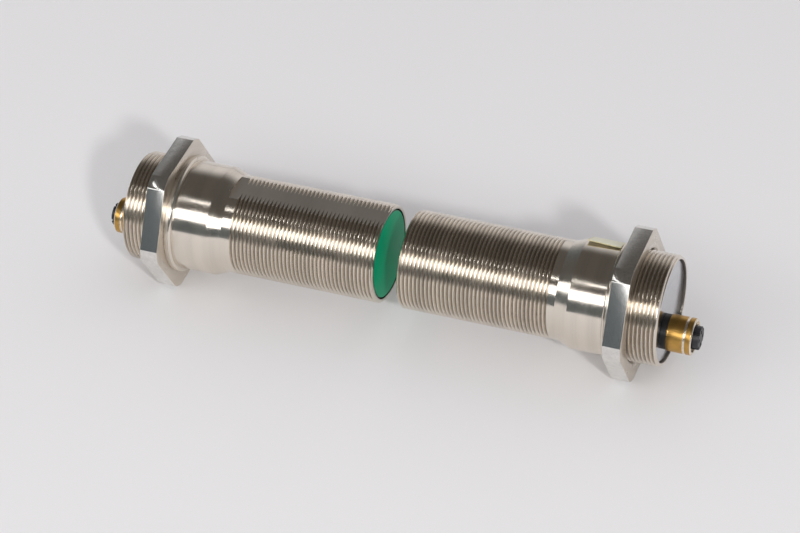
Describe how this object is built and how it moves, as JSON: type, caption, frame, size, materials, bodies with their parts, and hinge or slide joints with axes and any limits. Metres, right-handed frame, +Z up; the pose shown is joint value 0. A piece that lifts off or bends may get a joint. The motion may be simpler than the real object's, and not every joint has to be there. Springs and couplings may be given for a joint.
{
  "type": "through-beam photoelectric sensor pair",
  "caption": "Light-beam emitter and receiver face to face: threaded metal cylinders with green front windows, hexagonal lock nuts and off-centre rear connectors.",
  "frame": {"origin": "on the resting surface, under the middle of the beam gap between the two units", "axes": "+X along the optical axis from the emitter to the receiver, +Z up, +Y completes the right-handed frame"},
  "size_m": [0.2258, 0.055, 0.05],
  "materials": {
    "housing_steel": "turned and threaded stainless steel with a bright, fine-turned finish",
    "nut_steel": "stainless steel with satin milled flats",
    "washer_steel": "bright turned stainless steel",
    "window_green": "opaque-looking deep green filter plastic, glossy",
    "seal_rubber": "black elastomer",
    "lens_glass": "clear polished glass",
    "holder_plastic": "black anti-reflex plastic",
    "diode_resin": "red clear-cast resin",
    "board_green": "green solder mask",
    "carrier_plastic": "natural moulded plastic",
    "chip_plastic": "black moulded epoxy",
    "capacitor_can": "plain drawn metal can",
    "cover_steel": "polished steel",
    "connector_gold": "bright gold-coloured plating",
    "insert_plastic": "black moulded plastic",
    "contact_gold": "gold-plated contact",
    "label_paper": "blank pale polyester label with yellowed edges"
  },
  "bodies": {
    "emitter": {"emitter_housing": "housing_steel", "emitter_window": "window_green", "emitter_window_seal": "seal_rubber", "emitter_lens": "lens_glass", "emitter_lens_holder": "holder_plastic", "emitter_optics_board": "board_green", "emitter_main_board": "board_green", "emitter_pin_header": "chip_plastic", "emitter_signal_chip": "chip_plastic", "emitter_capacitor": "capacitor_can", "emitter_board_carrier": "carrier_plastic", "emitter_rear_cover": "cover_steel", "emitter_cover_seal": "seal_rubber", "emitter_connector_shell": "connector_gold", "emitter_connector_gasket": "seal_rubber", "emitter_connector_nut": "connector_gold", "emitter_connector_insert": "insert_plastic", "emitter_contact_1": "contact_gold", "emitter_contact_2": "contact_gold", "emitter_contact_3": "contact_gold", "emitter_contact_4": "contact_gold", "emitter_light_source": "diode_resin"},
    "emitter_washer": {"emitter_nut_washer": "washer_steel"},
    "emitter_nut": {"emitter_lock_nut": "nut_steel"},
    "receiver": {"receiver_housing": "housing_steel", "receiver_window": "window_green", "receiver_window_seal": "seal_rubber", "receiver_lens": "lens_glass", "receiver_lens_holder": "holder_plastic", "receiver_optics_board": "board_green", "receiver_main_board": "board_green", "receiver_pin_header": "chip_plastic", "receiver_signal_chip": "chip_plastic", "receiver_capacitor": "capacitor_can", "receiver_board_carrier": "carrier_plastic", "receiver_rear_cover": "cover_steel", "receiver_cover_seal": "seal_rubber", "receiver_connector_shell": "connector_gold", "receiver_connector_gasket": "seal_rubber", "receiver_connector_nut": "connector_gold", "receiver_connector_insert": "insert_plastic", "receiver_contact_1": "contact_gold", "receiver_contact_2": "contact_gold", "receiver_contact_3": "contact_gold", "receiver_contact_4": "contact_gold", "receiver_photodiode": "capacitor_can", "receiver_label": "label_paper"},
    "receiver_washer": {"receiver_nut_washer": "washer_steel"},
    "receiver_nut": {"receiver_lock_nut": "nut_steel"}
  },
  "joints": [
    {"name": "receiver_slide", "type": "slide", "parent": "emitter", "child": "receiver", "axis": [1, 0, 0], "range_m": [-0.008, 0.1]},
    {"name": "emitter_nut_travel", "type": "slide", "parent": "emitter", "child": "emitter_washer", "axis": [-1, 0, 0], "range_m": [0, 0.0092]},
    {"name": "emitter_nut_turn", "type": "hinge", "parent": "emitter_washer", "child": "emitter_nut", "pos_m": [-0.08675, 0, 0.025], "axis": [-1, 0, 0], "range_deg": [0, 2160]},
    {"name": "receiver_nut_travel", "type": "slide", "parent": "receiver", "child": "receiver_washer", "axis": [1, 0, 0], "range_m": [0, 0.0092]},
    {"name": "receiver_nut_turn", "type": "hinge", "parent": "receiver_washer", "child": "receiver_nut", "pos_m": [0.08675, 0, 0.025], "axis": [1, 0, 0], "range_deg": [0, 2160]}
  ],
  "couplings": [
    {"joint": "emitter_nut_travel", "follows": "emitter_nut_turn", "m_per_rad": 0.00023873},
    {"joint": "receiver_nut_travel", "follows": "receiver_nut_turn", "m_per_rad": 0.00023873}
  ]
}
